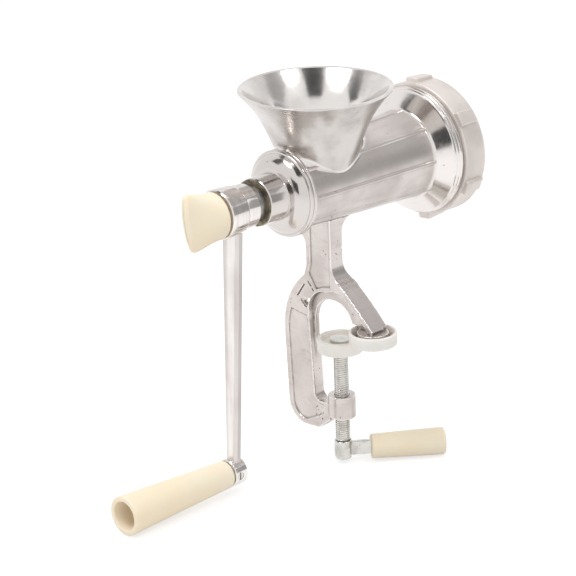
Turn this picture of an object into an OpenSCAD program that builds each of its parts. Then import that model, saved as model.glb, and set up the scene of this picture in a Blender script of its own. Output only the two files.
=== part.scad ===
// Hand-cranked meat grinder that clamps to a table edge.
// The origin is the middle of the face that rests on the table. X runs along the barrel towards the
// outlet, Y runs from the table edge inwards under the barrel, and Z is up. Lengths are in millimetres.

/* [Barrel] */
// Height of the barrel axis above the table face
axis_h = 101.5; // [92:0.5:120]
// Distance from the table pad's middle to the barrel axis, seen from above
axis_in = 43; // [40:0.5:48]
// Outer radius of the barrel just in front of the rear beads
barrel_r_rear = 25; // [24.5:0.1:26]
// Outer radius of the barrel where it meets the bell
barrel_r_front = 29.4; // [28:0.1:31]
// Radius of the bore that holds the worm
bore_r = 21.6; // [20:0.1:22]
// Distance from the hopper axis back to the barrel's rear face
rear_len = 37; // [35:0.5:42]
// Distance from the hopper axis forward to the foot of the bell
bell_x = 78; // [72:0.5:90]
// Outer radius of the bell's rim
bell_r = 42.7; // [42:0.1:45]
// Length of the bell's cone along the axis
bell_cone = 6; // [4:0.5:9]
// Length of the bell's rim along the axis
bell_rim = 7; // [6:0.5:10]
// Outer radius of the threaded spigot in front of the bell
spigot_r = 40.2; // [39.6:0.1:41.5]
// Length of the threaded spigot
spigot_len = 13.5; // [12:0.5:18]
// Height of the long casting ribs on the barrel
rib_h = 1.1; // [0.6:0.1:1.6]
// Width of the long casting ribs on the barrel
rib_w = 2.2; // [1.4:0.1:3.4]
// Outer radius of the two beads round the rear end
bead_r = 28.6; // [28:0.1:31]
// Outer radius of the rear neck
neck_r = 15.7; // [15.4:0.1:17]
// Length of the rear neck
neck_len = 19; // [16:0.5:26]

/* [Hopper] */
// Distance from the clamp frame's middle plane back to the hopper axis
hopper_back = 3; // [0:0.5:8]
// Radius of the hopper's mouth over its rim
mouth_r = 50; // [46:0.5:54]
// Height of the hopper's rim above the barrel axis
mouth_h = 63; // [60:0.5:75]
// Height of the upright band below the rim
rim_h = 2.4; // [2:0.2:6]
// Wall of the hopper
hopper_wall = 2.6; // [2.2:0.1:3.2]
// Outer radius of the hopper's foot, where it closes on the barrel's sides
foot_r = 21.8; // [21:0.1:23]
// Height of the hopper's foot above the barrel axis
foot_h = 4; // [2:0.5:8]
// Radius of the throat that drops the meat into the barrel
throat_r = 18.5; // [16:0.1:19.5]
// How far the hopper's side is drawn in from a straight cone
flare_sag = 4.8; // [3:0.1:6]

/* [Ring nut] */
// Outer radius of the ring nut
ring_r = 45.2; // [44.8:0.1:48]
// Depth of the ring nut along the axis
ring_len = 20.5; // [19:0.5:24]
// How far each lug stands out from the ring nut
lug_h = 3.2; // [2.4:0.1:4.5]
// Width of each lug
lug_w = 11; // [8:0.5:14]
// Number of lugs
lug_count = 6; // [3:1:8]
// Angle of the first lug from the side that faces the table edge
lug_turn = 36; // [0:1:59]
// Radius of the ring nut's opening
outlet_r = 31; // [26:0.5:32]

/* [Plate and knife] */
// Radius of the mincing plate
plate_r = 34.8; // [33:0.1:35.5]
// Thickness of the mincing plate
plate_t = 5; // [4:0.25:7]
// Radius of the holes in the mincing plate
hole_r = 2.5; // [1.5:0.1:2.8]
// Distance between neighbouring rows of holes in the mincing plate
hole_step = 7.4; // [7:0.1:9]
// Radius of the plate's middle hole
centre_r = 5.1; // [4.6:0.1:5.6]
// Radius over the knife's blades
knife_r = 31; // [27:0.5:33]
// Thickness of the knife
knife_t = 7; // [5:0.5:9]
// Radius of the knife's hub
knife_hub_r = 10; // [9:0.5:12]
// Radius of the pin that stops the plate from turning
key_r = 2; // [1.5:0.1:2.5]

/* [Worm and drive shaft] */
// Radius of the worm's core
core_r = 10.5; // [9.5:0.1:12]
// Advance of the worm's flight in one turn
worm_pitch = 34; // [26:1:44]
// Thickness of the worm's flight
flight_t = 5; // [4:0.25:7]
// Radius of the shaft through the worm
shaft_r = 6; // [5:0.1:7]
// Radius of the shaft's journal in the rear neck
journal_r = 12.2; // [11.6:0.1:12.6]
// Width across the flats of the shaft's square ends
square_w = 14; // [12:0.25:15]
// Thickness of the thrust washer behind the worm
thrust_t = 1.6; // [1:0.1:2.5]
// Wall of the bush in the neck
bush_wall = 1.4; // [1.2:0.1:1.8]
// Thickness of the bush's flange
bush_flange = 1.6; // [1.2:0.1:2.4]
// Length of the bush inside the neck
bush_len = 11.5; // [8:0.5:14]

/* [Crank] */
// Distance from the barrel axis to the grip's spindle
crank_len = 180; // [150:1:200]
// Angle by which the crank hangs off the vertical at rest
crank_lean = 2.4; // [0:0.2:8]
// Distance from the bush's flange to the crank hub
hub_gap = 6; // [3:0.5:9]
// Length of the crank hub
hub_len = 25; // [22:0.5:30]
// Radius of the crank hub's outer end
hub_r_out = 16.3; // [15.6:0.1:18]
// Radius of the crank hub's inner end
hub_r_in = 14.4; // [13.6:0.1:15.2]
// Width of the crank arm at the hub
arm_w_top = 15.6; // [13:0.2:18]
// Width of the crank arm at the spindle
arm_w_end = 9.6; // [8:0.2:12]
// Thickness of the crank arm
arm_t = 5; // [4:0.2:7]
// Radius of the eye at the crank arm's end
eye_r = 9.2; // [8:0.1:11]
// Angle by which the crank arm splays away from the barrel's rear
arm_splay = 0.6; // [0:0.1:2]
// Thickness of the eye
eye_t = 10.4; // [8:0.2:12]
// Radius of the grub screw in the eye's side
grub_r = 2.6; // [2:0.1:3]

/* [Crank grip] */
// Length of the crank grip
grip_len = 86.5; // [75:0.5:110]
// Radius of the crank grip at its open end
grip_r_out = 13; // [12:0.1:15]
// Radius of the crank grip beside the arm
grip_r_in = 9.3; // [8.6:0.1:11]
// Radius of the hollow in the crank grip's open end
hollow_r = 8.6; // [8:0.1:9.5]
// Depth of that hollow
hollow_len = 62; // [40:1:70]
// Radius of the spindle that the grip turns on
spindle_r = 4; // [3:0.1:5]
// Radius of the spindle's flat head
spindle_head_r = 6.6; // [6:0.1:7.4]

/* [Wing screw] */
// Length of the wing screw's plastic head
wing_len = 25; // [20:0.5:34]
// Radius of the wing screw's round foot
wing_foot_r = 15.4; // [14:0.1:16]
// Width of the wing at its free edge
wing_w = 37; // [30:0.5:44]
// Thickness of the wing at its free edge
wing_t = 7; // [5:0.25:10]
// Angle by which the wing is turned from upright at rest
wing_turn = 9; // [0:1:45]
// Length of the wing's round foot before it flattens
wing_foot = 7; // [4:0.25:10]
// Radius of the wing screw's threaded stud
stud_r = 4; // [3:0.1:4.4]
// Length of the stud that stands in the shaft
stud_grip = 12; // [8:0.25:14]
// Advance of the wing screw in one turn
stud_pitch = 1.25; // [0.8:0.05:1.5]

/* [Clamp frame] */
// Thickness of the frame's pedestal
frame_t = 11; // [10:0.25:14]
// Thickness of the frame's back bar and lower arm
bar_t = 9; // [8:0.25:10]
// Width of the pedestal under the barrel
pedestal_w = 23; // [20:0.5:28]
// Width of the back bar
bar_w = 27; // [22:0.5:30]
// Distance from the clamp screw's axis to the foot of the back bar's inner face
throat_depth = 20; // [18:0.5:24]
// Height of the frame's opening above the table face
crown_h = 27.3; // [25:0.1:29]
// How far the jaw arm's foot reaches out past the table pad's middle
jaw_lean = 4.5; // [-3:0.5:6]
// How far the frame's shoulder bulges out beside the pedestal
shoulder_sag = 5.9; // [3:0.1:7]
// Radius of the opening's round upper corner
arch_r = 16.3; // [14:0.1:17]
// How far the thin web hangs below the top of the opening
web_drop = 5.8; // [3:0.2:7]
// Thickness of that web
web_t = 3.6; // [2.5:0.1:5]
// Distance from the table face down to the lower arm
mouth_drop = 51; // [46:0.5:60]
// Thickness of the lower arm
arm_drop = 20.5; // [17:0.5:24]
// Distance from the table pad's middle to the clamp screw's axis
screw_in = 30.5; // [29.5:0.5:34]
// Radius of the boss that the clamp screw runs in
boss_r = 9; // [8.5:0.1:10.5]
// Length of that boss
boss_len = 15.5; // [13:0.5:20]
// How far the boss stands above the lower arm
boss_up = 7.5; // [4:0.5:9]
// Width of the rim round the frame's sunk face
rim_w = 3.6; // [2.5:0.1:4.5]
// Depth of the frame's sunk face
sink = 1; // [0.5:0.1:2]
// Width of the jaw arm's outer flange
flange_w = 15; // [12:0.5:16]
// Thickness of the jaw arm's outer flange
flange_t = 3.6; // [2.6:0.1:4.6]
// Radius of the shoe under the jaw arm
shoe_r = 10.4; // [8:0.2:12]

/* [Pads] */
// Radius of the table pad
pad_r = 15.7; // [15:0.1:17]
// Height of the table pad
pad_h = 8.5; // [7.5:0.5:11]
// Floor of the table pad
pad_floor = 2; // [1.5:0.1:3]
// Wall of the table pad
pad_wall = 1.8; // [1.4:0.1:2.4]
// Radius of the screw pad
lower_pad_r = 15.4; // [14.5:0.1:17]
// Height of the screw pad
lower_pad_h = 9; // [8:0.5:12]
// Depth of the dish in the screw pad's top
pad_dish = 3.2; // [2:0.1:5]
// Distance from the table face down to the screw pad at rest
pad_gap = 3.5; // [2.5:0.1:12]

/* [Clamp screw] */
// Radius of the clamp screw over its thread
screw_r = 4.9; // [4.4:0.1:5.4]
// Advance of the clamp screw in one turn
screw_pitch = 1.5; // [1:0.1:2.5]
// Length of the clamp screw below the screw pad
screw_len = 76.5; // [72:0.5:95]
// Radius of the crimped collar at the clamp screw's foot
collar_r = 5.8; // [5.6:0.1:7]
// Length of that collar
collar_len = 13; // [12:0.5:18]
// Width of the flat tang through the collar
tang_w = 9.5; // [8:0.5:11]
// Thickness of the tang
tang_t = 3; // [2:0.1:3.6]
// Length of the tang from the screw's axis to its end in the grip
tang_len = 62; // [45:1:70]
// Distance from the screw's axis to the clamp grip
clamp_grip_start = 18.5; // [14:0.5:26]
// Length of the clamp grip
clamp_grip_len = 49.5; // [44:0.5:60]
// Radius of the clamp grip beside the collar
clamp_grip_r_in = 8.1; // [7.6:0.1:9.5]
// Radius of the clamp grip's free end
clamp_grip_r_out = 9; // [8.5:0.1:10.5]
// Direction in which the clamp grip points at rest, seen from above
clamp_turn = -37; // [-180:1:180]

/* [Clearances] */
// Radial clearance round parts that turn or slide
run = 0.08; // [0.05:0.01:0.1]
// Clearance between parts of different groups that stand face to face
face_gap = 0.3; // [0.2:0.05:0.5]
// Radial clearance between the teeth of a thread and its nut
thread_gap = 0.15; // [0.1:0.01:0.25]
// Radial clearance round parts that are fixed together
snug = 0.03; // [0.02:0.01:0.1]

/* [Hidden] */
$fn = 72;

// Colours of the real pieces
polished = [0.86, 0.85, 0.84];
cast_grey = [0.80, 0.77, 0.75];
ring_grey = [0.83, 0.80, 0.77];
zinc = [0.72, 0.73, 0.68];
steel = [0.62, 0.62, 0.62];
bronze = [0.47, 0.38, 0.26];
cream = [0.96, 0.91, 0.78];
white = [0.90, 0.88, 0.85];

// Places along the barrel, measured from the hopper axis
hopper_x = -hopper_back;
rim_x = bell_x + bell_cone;
shoulder_x = rim_x + bell_rim;
spigot_x = shoulder_x + spigot_len;
plate_x = spigot_x + 1 - plate_t;
knife_x = plate_x - 0.2 - knife_t;
worm_end = knife_x - 0.4;
rear_in = -rear_len + 3.5;
worm_start = rear_in + thrust_t + 0.4;
neck_end = -rear_len - neck_len;
bush_end = neck_end - bush_flange;
hub_in = bush_end - hub_gap;
hub_out = hub_in - hub_len;
arm_x = hub_in - hub_len / 2;
washer_t = 1.2;
wing_x = hub_out - washer_t - 0.4;
chamber_x = bell_x + 5;

// Radii inside the barrel and round the shaft
chamber_r = plate_r + run;
bush_r_in = journal_r + run;
bush_r_out = bush_r_in + bush_wall;
lip_r = spigot_r + thread_gap;
rib_turns = [-45, 0, 45, 90];
front_square = shaft_r * 1.5;
stud_front_r = centre_r - run;
square_out = hub_in - 17;

// Places of the clamp
screw_y = screw_in;
bar_in = screw_in + throat_depth;
bar_out = bar_in + bar_w;
arm_bottom = -mouth_drop - arm_drop;
boss_top = -mouth_drop + boss_up;
boss_bottom = boss_top - boss_len;
lower_pad_top = -pad_gap;
lower_pad_bottom = lower_pad_top - lower_pad_h;
screw_foot = lower_pad_bottom - screw_len;
pad_pin_r = screw_r - 1;
collar_top = screw_foot + collar_len;
tang_z = screw_foot + collar_len / 2;
frame_back = frame_t / 2;
foot_disc_t = 3;
arch_at = [axis_in - 5.5, crown_h - arch_r];
bar_x = bar_t - frame_back;
web_x = -1.6;
web_r = arch_r - 0.1;
web_z = crown_h - web_drop - web_r;
jaw_top = [axis_in - 22.5, crown_h + 4.5];
jaw_foot = [-jaw_lean, pad_h + 1];

// Stands a shape that is drawn along Z on the barrel axis, with its zero on the hopper axis
module on_axis() {
  translate([hopper_x, axis_in, axis_h]) rotate([0, 90, 0]) children();
}

// Stands a shape on the clamp screw's axis
module on_screw() {
  translate([0, screw_y, 0]) children();
}

// Solid of revolution about the barrel axis, from [radius, place along the axis] points
module turned(points) {
  on_axis() rotate_extrude() polygon(points);
}

// Plain cylinder on the barrel axis between two places
module axle(from, to, r) {
  on_axis() translate([0, 0, from]) cylinder(h = to - from, r = r);
}

// Square bar on the barrel axis between two places
module square_axle(from, to, w) {
  on_axis() translate([-w / 2, -w / 2, from]) cube([w, w, to - from]);
}

// Points of an arc round a centre
function arc(c, r, from, to, n = 8) =
  [for (i = [0:n]) let (a = from + (to - from) * i / n) [c[0] + r * cos(a), c[1] + r * sin(a)]];

// Points of a curve from a to b that bows sideways by a sag
function bowed(a, b, sag, n = 14) =
  let (d = b - a, side = [d[1], -d[0]] / norm(d))
  [for (i = [0:n]) let (t = i / n) a + d * t + side * sag * 4 * t * (1 - t)];

// Points of a list in the opposite order
function flipped(points) = [for (i = [len(points) - 1:-1:0]) points[i]];

// Outer solid of the barrel between its beads and its bell
module barrel_skin() {
  turned([[0, 6 - rear_len], [barrel_r_rear, 6 - rear_len], [barrel_r_front, bell_x], [0, bell_x]]);
}

// One long rib on the barrel's skin, at an angle up from the table side
module long_rib(angle, from, to) {
  slope = atan((barrel_r_front - barrel_r_rear) / (bell_x + rear_len - 6));
  on_axis() rotate([0, 0, -90 - angle]) translate([barrel_r_rear, 0, 6 - rear_len])
    rotate([0, slope, 0]) translate([-2, -rib_w / 2, from + rear_len - 6])
      cube([rib_h + 2, rib_w, to - from]);
}

// The barrel's outside with its long ribs
module barrel_form() {
  barrel_skin();
  for (a = rib_turns) long_rib(a, 10 - rear_len, bell_x + 1);
}

module barrel() {
  color(cast_grey) difference() {
    union() {
      turned(concat(
        [[0, neck_end], [neck_r - 1, neck_end], [neck_r, neck_end + 1], [neck_r, -rear_len - 4]],
        bowed([neck_r, -rear_len - 4], [neck_r + 4, -rear_len - 0.6], 0.9, 6),
        bowed([neck_r + 4, -rear_len - 0.6], [bead_r - 1.4, -rear_len + 3], 2, 8),
        [[bead_r - 1.2, -rear_len + 3.4]],
        arc([bead_r - 1.6, -rear_len + 5], 1.6, -60, 70, 6),
        [[bead_r - 1.8, -rear_len + 6.7]],
        arc([bead_r - 1.6, -rear_len + 8.4], 1.6, -70, 90, 6),
        [[barrel_r_rear, -rear_len + 10.4], [0, -rear_len + 10.4]]));
      barrel_form();
      turned([[0, bell_x - 4], [barrel_r_front, bell_x - 4], [barrel_r_front + 1, bell_x],
        [bell_r - 2.4, rim_x], [bell_r - 1.4, rim_x + 0.3], [bell_r - 1.4, rim_x + 2.4],
        [bell_r - 0.7, rim_x + 2.6], [bell_r - 0.7, rim_x + 4.6], [bell_r, rim_x + 4.8],
        [bell_r, shoulder_x], [spigot_r, shoulder_x], [spigot_r, spigot_x - 0.8],
        [spigot_r - 0.8, spigot_x], [0, spigot_x]]);
    }
    axle(rear_in, chamber_x + 1, bore_r);
    turned([[0, chamber_x - 3], [bore_r, chamber_x - 3], [chamber_r, chamber_x + 4],
      [chamber_r, spigot_x + 1], [0, spigot_x + 1]]);
    axle(neck_end - 1, neck_end + bush_len + 0.5, bush_r_out + snug);
    axle(neck_end - 1, rear_in + 1, journal_r + 4 * run);
    translate([hopper_x, axis_in, axis_h]) cylinder(h = barrel_r_front + 9, r = throat_r);
    key_hole(key_r + snug);
  }
}

// Bore of the plate's key in the spigot's wall, which cuts into the chamber
module key_hole(r) {
  on_axis() translate([0, chamber_r, plate_x - 4]) cylinder(h = spigot_x + 2 - plate_x + 4, r = r);
}

module hopper() {
  shape_top = [mouth_r - 0.8, mouth_h - rim_h];
  inner_top = [mouth_r - hopper_wall, mouth_h - rim_h];
  color(polished) difference() {
    translate([hopper_x, axis_in, axis_h]) rotate_extrude($fn = 96) polygon(concat(
      [[throat_r, foot_h]],
      bowed([foot_r, foot_h], shape_top, -flare_sag, 14),
      [[mouth_r, mouth_h - rim_h + 1.2], [mouth_r, mouth_h - 0.8], [mouth_r - 0.8, mouth_h],
       [mouth_r - 1.6, mouth_h], [mouth_r - hopper_wall, mouth_h - 1.4]],
      bowed(inner_top, [throat_r, foot_h + 3], flare_sag, 14)));
    barrel_form();
    axle(-rear_len - 2, -rear_len + 11, bead_r);
  }
}

// Outer face of the jaw arm in the Y-Z plane, moved inwards by a depth
function jaw_curve(depth = 0) =
  let (d = jaw_foot - jaw_top, in = depth * [-d[1], d[0]] / norm(d))
  bowed(jaw_foot + in, jaw_top + in, -0.5, 8);

// Outline of the frame, from the pedestal down and round the back bar and the lower arm
function frame_outline() = concat(
  [[axis_in + pedestal_w / 2 + 8, axis_h - 6]],
  arc([axis_in + pedestal_w / 2 + 9, axis_h - 46], 9, 130, 180, 5),
  [[axis_in + pedestal_w / 2, crown_h + 16]],
  bowed([axis_in + pedestal_w / 2 + 2.7, crown_h + 8], [bar_out, -8], -shoulder_sag, 8),
  arc([bar_out - 18, arm_bottom + 16], 16, -8, -98, 9),
  [[screw_y + 17, arm_bottom + 1], [screw_y + 6.5, boss_bottom - 3.5], [screw_y + 6.5, -mouth_drop]],
  arc([bar_in - 5, -mouth_drop + 5], 5, -90, -5, 5),
  arc(arch_at, arch_r, 0, 90, 9),
  [[axis_in - 13, crown_h + 2]],
  flipped(jaw_curve(flange_t)),
  jaw_curve(),
  arc([axis_in - pedestal_w / 2 - 14, crown_h + 20], 14, -64, 0, 6),
  [[axis_in - pedestal_w / 2, axis_h - 6]]);

// Thin web that lines the opening's top and the inside of the jaw arm
function web_outline() = concat(
  [[bar_in + 4, 15 - mouth_drop], [bar_in + 1.5, 15 - mouth_drop]],
  arc([arch_at[0] - 2.5, web_z], web_r, 0, 90, 9),
  arc([arch_at[0] - 4.5, web_z], web_r, 90, 165, 8),
  [[pad_r - 2.4, pad_h + 0.8], [pad_r - 4, pad_floor + 2], [jaw_foot[0], pad_floor + 2]],
  jaw_curve(flange_t / 2),
  [[axis_in - 12, crown_h + 7], [arch_at[0] + 9, crown_h + 3], [arch_at[0] + arch_r + 1, arch_at[1] + 4]]);

// Sheet of the frame between two places on X, cut from a flat outline
module sheet(points, from, to) {
  translate([from, 0, 0]) rotate([90, 0, 90]) linear_extrude(height = to - from) polygon(points);
}

// Sunk field of the back bar, which runs round into the lower arm
function bar_field() = concat(
  bowed([bar_out - rim_w - 3, 9], [bar_out - rim_w, -8], -shoulder_sag / 6, 4),
  arc([bar_out - 18, arm_bottom + 16], 16 - rim_w, -8, -92, 8),
  [[screw_y + boss_r + 3, boss_bottom - 4 + rim_w], [screw_y + boss_r + 3, -mouth_drop - rim_w / 2]],
  arc([bar_in - 5, -mouth_drop + 5], 5 + rim_w / 2, -90, -5, 5),
  [[arch_at[0] + arch_r + rim_w / 2, arch_at[1] - 4]]);

// Sunk field of the pedestal
function pedestal_field() =
  let (low = axis_in - pedestal_w / 2 + rim_w / 2, high = axis_in + pedestal_w / 2 - rim_w)
  [[low, crown_h + 4], [low, axis_h - 6], [high, axis_h - 6], [high, crown_h + 17],
    [high + 2, crown_h + 10], [arch_at[0] + 9, crown_h], [arch_at[0] + 3, crown_h + 2.5]];

// Small window between the pedestal, the crown and the back bar
function corner_window() = [arch_at + [arch_r - 0.6, 8.6], arch_at + [arch_r + 6.4, 7], arch_at + [arch_r + 2.4, 1.4]];

module clamp_frame() {
  gusset = 9;
  color(cast_grey) difference() {
    union() {
      difference() {
        sheet(frame_outline(), -frame_back, frame_back);
        // The back bar and the lower arm are thinner than the pedestal
        translate([bar_x, screw_y - 5, arm_bottom - 5])
          cube([frame_t, bar_out, crown_h - 15 - arm_bottom + 5]);
      }
      sheet(web_outline(), web_x, web_x + web_t);
      // Buttress that spreads the pedestal along the barrel
      translate([0, axis_in + pedestal_w / 2, 0]) rotate([90, 0, 0]) linear_extrude(height = pedestal_w)
        polygon(concat([[0, axis_h - 12], [0, axis_h - 40], [frame_back, axis_h - 40]],
          arc([frame_back + gusset, axis_h - 25 - gusset], gusset, 180, 100, 6),
          [[frame_back + gusset, axis_h - 12]]));
      jaw_flange();
      // Shoe and disc that sit in the table pad
      translate([0, 0, pad_floor + snug]) cylinder(h = foot_disc_t, r = pad_r - pad_wall - snug);
      translate([0, 0, pad_floor + 1]) cylinder(h = pad_h - pad_floor - 1.4, r = shoe_r);
      on_screw() translate([0, 0, boss_bottom]) cylinder(h = boss_len, r = boss_r);
    }
    barrel_form();
    on_screw() translate([0, 0, boss_bottom - 1]) cylinder(h = boss_len + 2, r = screw_r + thread_gap);
    sheet(bar_field(), -frame_back - 1, sink - frame_back);
    sheet(pedestal_field(), -frame_back - 1, sink - frame_back);
    sheet(corner_window(), -frame_back - 1, frame_back + 1);
  }
}

// Outer flange of the jaw arm, which narrows upwards into the pedestal
module jaw_flange() {
  wide = flange_w - frame_back;
  intersection() {
    sheet(concat([[axis_in - pedestal_w / 2 + 8, axis_h - 30], [axis_in - 13, crown_h + 2]],
      flipped(jaw_curve(flange_t)), [[jaw_foot[0] + flange_t, pad_floor + 2], [jaw_foot[0] - 0.5, pad_floor + 2]],
      jaw_curve(), arc([axis_in - pedestal_w / 2 - 14, crown_h + 20], 14, -64, 0, 6),
      [[axis_in - pedestal_w / 2, axis_h - 30]]), 0, wide);
    translate([0, axis_in + pedestal_w, 0]) rotate([90, 0, 0]) linear_extrude(height = 3 * pedestal_w)
      polygon([[0, 0], [wide, 0], [wide, crown_h + 7], [frame_back + 1.4, crown_h + 14],
        [frame_back, crown_h + 21], [0, crown_h + 24]]);
  }
}

module neck_bush() {
  color(bronze) difference() {
    union() {
      axle(bush_end, neck_end, neck_r - 0.5);
      axle(neck_end, neck_end + bush_len, bush_r_out);
    }
    axle(bush_end - 1, neck_end + bush_len + 1, bush_r_in);
  }
}

module plate_key() {
  color(steel) on_axis() translate([0, chamber_r, plate_x - 4])
    cylinder(h = spigot_x - plate_x + 3.8, r = key_r);
}

module table_pad() {
  color(white) difference() {
    union() {
      cylinder(h = pad_h - 1.2, r = pad_r);
      translate([0, 0, pad_h - 1.2]) cylinder(h = 1.2, r1 = pad_r, r2 = pad_r - 1);
    }
    translate([0, 0, pad_floor]) cylinder(h = pad_h, r = pad_r - pad_wall);
  }
}

module drive_shaft() {
  color(steel) difference() {
    union() {
      turned([[0, hub_in], [journal_r, hub_in], [journal_r, worm_start], [shaft_r, worm_start],
        [shaft_r, worm_end], [front_square * 0.4, worm_end], [front_square * 0.4, knife_x + knife_t],
        [stud_front_r, knife_x + knife_t], [stud_front_r, plate_x + plate_t], [0, plate_x + plate_t]]);
      square_axle(square_out, hub_in + 1, square_w);
      square_axle(worm_end - 1, knife_x + knife_t, front_square);
    }
    axle(square_out - 1, square_out + stud_grip + 1, stud_r + run);
  }
}

// Cross-section of the worm: its core with one flight, which narrows towards its tip
module worm_section() {
  root = 360 * 1.3 * flight_t / worm_pitch;
  tip = 360 * 0.6 * flight_t / worm_pitch;
  polygon(concat(arc([0, 0], core_r, root / 2, 360 - root / 2, 14), arc([0, 0], bore_r - 0.3, -tip / 2, tip / 2, 3)));
}

module worm() {
  len = worm_end - worm_start;
  color(cast_grey) difference() {
    on_axis() translate([0, 0, worm_start])
      linear_extrude(height = len, twist = 360 * len / worm_pitch, slices = 54, segments = 22)
        worm_section();
    axle(worm_start - 1, worm_end + 1, shaft_r + snug);
  }
}

module worm_thrust_washer() {
  color(cream) difference() {
    axle(worm_start - thrust_t, worm_start, bore_r - 1);
    axle(worm_start - thrust_t - 1, worm_start + 1, journal_r + snug);
  }
}

module cross_knife() {
  blade_root = knife_hub_r * 1.1;
  color(steel) difference() {
    union() {
      axle(knife_x, knife_x + knife_t, knife_hub_r);
      for (k = [0:3])
        on_axis() translate([0, 0, knife_x + knife_t]) rotate([180, 0, 90 * k])
          linear_extrude(height = knife_t - 2)
            polygon([[0, -blade_root / 2], [knife_r - 1, -3], [knife_r, 0], [knife_r - 2, 3.4],
              [knife_hub_r, blade_root / 2], [0, blade_root / 2]]);
    }
    square_axle(knife_x - 1, knife_x + knife_t + 1, front_square + 2 * snug);
  }
}

// Centres of the plate's holes on a triangular grid, clear of its middle, its rim and its key
function plate_holes() = [for (i = [-5:5], j = [-5:5])
  let (p = [hole_step * (i + j / 2), hole_step * j * sqrt(3) / 2])
  if (norm(p) > centre_r + hole_r + 1.4 && norm(p) < outlet_r - hole_r - 0.6) p];

module mincing_plate() {
  color(steel) difference() {
    axle(plate_x, plate_x + plate_t, plate_r);
    axle(plate_x - 1, plate_x + plate_t + 1, centre_r);
    on_axis() for (p = plate_holes())
      translate([p[0], p[1], plate_x - 1]) cylinder(h = plate_t + 2, r = hole_r, $fn = 24);
    on_axis() translate([0, chamber_r, plate_x - 1]) cylinder(h = plate_t + 2, r = key_r + 2 * run);
  }
}

module ring_nut() {
  from = shoulder_x + face_gap;
  to = from + ring_len;
  color(ring_grey) difference() {
    union() {
      turned(concat([[0, from], [ring_r - 0.8, from], [ring_r, from + 0.8], [ring_r, to - 5]],
        arc([ring_r - 5, to - 5], 5, 0, 80, 6), [[0, to]]));
      for (k = [0:lug_count - 1])
        on_axis() rotate([0, 0, -90 - lug_turn - k * 360 / lug_count]) ring_lug(from, ring_len);
    }
    axle(from - 1, plate_x + plate_t + 0.05, lip_r);
    axle(plate_x + plate_t - 1, to + 1, outlet_r);
    turned([[0, to - 1.5], [outlet_r, to - 1.5], [outlet_r + 3, to + 1], [0, to + 1]]);
  }
}

// One rounded lug along the ring nut, lower at its front end
module ring_lug(from, len) {
  round_r = 2.2;
  height = ring_r + lug_h;
  hull() {
    for (s = [-1, 1]) {
      translate([height - round_r, s * (lug_w / 2 - round_r - 0.6), from + 0.4])
        cylinder(h = 1, r = round_r, $fn = 24);
      translate([height - round_r - 1.2, s * (lug_w / 2 - round_r - 1), from + len - 3.2])
        cylinder(h = 1, r = round_r, $fn = 24);
    }
    translate([ring_r - 4, -lug_w / 2, from + 0.4]) cube([2, lug_w, len - 4.4]);
  }
}

// Stands a shape that hangs from the barrel axis in the crank's plane, turned to its place at rest
module on_crank() {
  translate([hopper_x, axis_in, axis_h]) rotate([crank_lean, 0, 0]) children();
}

// Places along the spindle
eye_x = arm_x - crank_len * sin(arm_splay);
eye_face = eye_x - eye_t / 2;
grip_in = eye_face - 1.4;
grip_out = grip_in - grip_len;
hollow_x = grip_out + hollow_len;
spindle_end = hollow_x - 3.4;

// Stands a shape that is drawn along Z on the spindle's axis
module on_spindle() {
  on_crank() translate([0, 0, -crank_len]) rotate([0, 90, 0]) children();
}

module crank_arm() {
  step_x = hub_in - 11;
  color(polished) difference() {
    union() {
      turned([[0, hub_in], [hub_r_in - 0.6, hub_in], [hub_r_in, hub_in - 0.8], [hub_r_in + 0.7, step_x],
        [hub_r_in + 1, step_x - 0.3], [hub_r_out, hub_out + 0.8], [hub_r_out - 0.7, hub_out], [0, hub_out]]);
      on_crank() translate([arm_x - arm_t / 2, 0, 0]) rotate([0, arm_splay, 0]) rotate([90, 0, 90])
        linear_extrude(height = arm_t)
          polygon([[-arm_w_top / 2, 4 - hub_r_in], [-arm_w_end / 2, -crank_len], [arm_w_end / 2, -crank_len],
            [arm_w_top / 2, 4 - hub_r_in]]);
      on_spindle() rotate_extrude() polygon([[0, eye_face], [eye_r - 0.6, eye_face], [eye_r, eye_face + 0.6],
        [eye_r, eye_face + eye_t - 0.6], [eye_r - 0.6, eye_face + eye_t], [0, eye_face + eye_t]]);
    }
    square_axle(square_out - 1, hub_in + 1, square_w + 2 * run);
    axle(hub_out - 1, square_out + 1, stud_r + thread_gap);
    on_spindle() translate([0, 0, eye_face - 1]) cylinder(h = eye_t + 2, r = spindle_r + snug);
    on_grub() cylinder(h = eye_r, r = grub_r + snug);
  }
}

// Stands a shape on the grub screw's axis, which points from the spindle's axis to the table side
module on_grub() {
  on_crank() translate([eye_x - 1.2, 0, -crank_len]) rotate([90, 0, 0]) children();
}

module eye_screw() {
  slot_w = 0.9;
  head = eye_r - 0.5;
  color(zinc) difference() {
    on_grub() translate([0, 0, spindle_r + 2 * snug]) cylinder(h = head - spindle_r - 2 * snug, r = grub_r);
    on_grub() translate([-slot_w / 2, -grub_r - 1, head - 1.4]) cube([slot_w, 2 * grub_r + 2, 3]);
  }
}

module grip_spindle() {
  color(steel) on_spindle() rotate_extrude() polygon([[0, spindle_end], [spindle_head_r - 1, spindle_end],
    [spindle_head_r, spindle_end + 1], [spindle_head_r, hollow_x - face_gap], [spindle_r, hollow_x - face_gap],
    [spindle_r, eye_face + eye_t + 0.8], [0, eye_face + eye_t + 1.6]]);
}

module grip_washer() {
  color(zinc) on_spindle() translate([0, 0, eye_face - 1.1]) difference() {
    cylinder(h = 1.1, r = grip_r_in - 2);
    translate([0, 0, -1]) cylinder(h = 3, r = spindle_r + snug);
  }
}

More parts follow.
